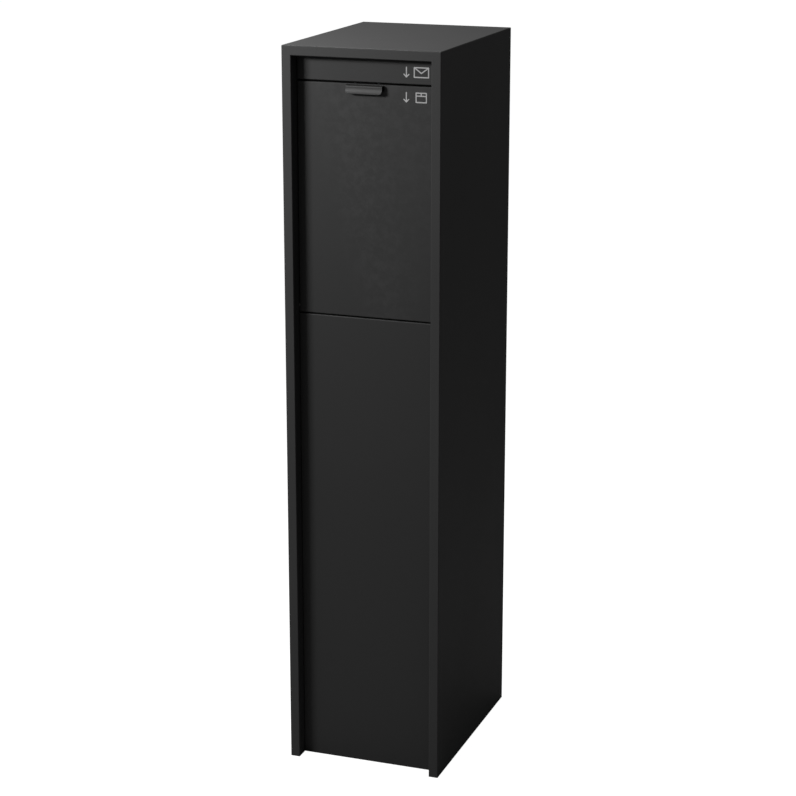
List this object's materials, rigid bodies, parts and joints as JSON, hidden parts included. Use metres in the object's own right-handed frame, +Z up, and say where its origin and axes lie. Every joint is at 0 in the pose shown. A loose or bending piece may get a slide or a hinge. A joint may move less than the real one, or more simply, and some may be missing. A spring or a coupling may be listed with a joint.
{
  "type": "letter and parcel box",
  "caption": "Tall free-standing letter and parcel box of folded sheet steel with a letter flap, a tilting parcel door with a drop hopper and a locked rear door.",
  "frame": {"origin": "middle of the footprint, on the ground", "axes": "+Z up; -Y out of the front, where the letter flap and the parcel door are; +X to the right seen from the front"},
  "size_m": [0.3, 0.41, 1.37],
  "materials": {
    "black_coat": "matte fine-textured charcoal powder coat",
    "zinc_steel": "zinc-plated sheet steel",
    "bright_steel": "plain bright steel",
    "black_rubber": "matte moulded rubber",
    "grey_print": "matte light grey screen print",
    "lock_chrome": "polished chrome"
  },
  "bodies": {
    "cabinet": {"left_side_panel": "black_coat", "right_side_panel": "black_coat", "top_panel": "black_coat", "base_plate": "black_coat", "rear_sill": "black_coat", "lower_front_panel": "black_coat", "lower_panel_screws": "bright_steel", "front_cross_rail": "zinc_steel", "letter_sill_rail": "zinc_steel", "letter_chute": "zinc_steel", "chute_rivets": "bright_steel", "flap_stop_strip": "zinc_steel", "flap_hinge_plates": "zinc_steel", "flap_hinge_rod": "bright_steel", "flap_rod_clips": "bright_steel", "parcel_hinge_plates": "zinc_steel", "parcel_hinge_pins": "bright_steel", "parcel_door_bumpers": "black_rubber", "hopper_stop_brackets": "zinc_steel", "hopper_stop_pads": "black_rubber", "rear_pivot_plates": "zinc_steel", "rear_pivot_pins": "bright_steel", "rear_stop_strips": "zinc_steel", "rear_door_seal": "black_rubber"},
    "letter_flap_body": {"letter_flap": "black_coat", "flap_knuckles": "black_coat", "flap_return_spring": "bright_steel", "letter_pictogram": "grey_print"},
    "parcel_door_body": {"parcel_door": "black_coat", "pull_tab": "black_coat", "pull_tab_rivets": "bright_steel", "left_hopper_cheek": "black_coat", "right_hopper_cheek": "black_coat", "hopper_floor": "black_coat", "hopper_edge_seal": "black_rubber", "hopper_rivets": "bright_steel", "hopper_stop_lugs": "bright_steel", "parcel_pictogram": "grey_print"},
    "rear_door_body": {"rear_door": "black_coat", "rear_door_stiffener": "black_coat", "rear_hinge_plates": "zinc_steel", "lock_housing": "lock_chrome", "lock_nut": "lock_chrome"},
    "lock_plug_body": {"lock_plug": "lock_chrome", "lock_cam": "zinc_steel", "lock_cam_screw": "bright_steel"}
  },
  "joints": [
    {"name": "letter_flap_swing", "type": "hinge", "parent": "cabinet", "child": "letter_flap_body", "pos_m": [0, -0.173, 1.341], "axis": [1, 0, 0], "range_deg": [0, 70], "stiffness_Nm_per_rad": 0.05, "springref_deg": -34.38},
    {"name": "parcel_door_tilt", "type": "hinge", "parent": "cabinet", "child": "parcel_door_body", "pos_m": [0, -0.174, 0.8925], "axis": [1, 0, 0], "range_deg": [0, 50]},
    {"name": "rear_door_swing", "type": "hinge", "parent": "cabinet", "child": "rear_door_body", "pos_m": [-0.12, 0.196, 0.685], "axis": [0, 0, 1], "range_deg": [0, 110]},
    {"name": "lock_turn", "type": "hinge", "parent": "rear_door_body", "child": "lock_plug_body", "pos_m": [0.11, 0.185, 0.685], "axis": [0, 1, 0], "range_deg": [0, 90]}
  ]
}
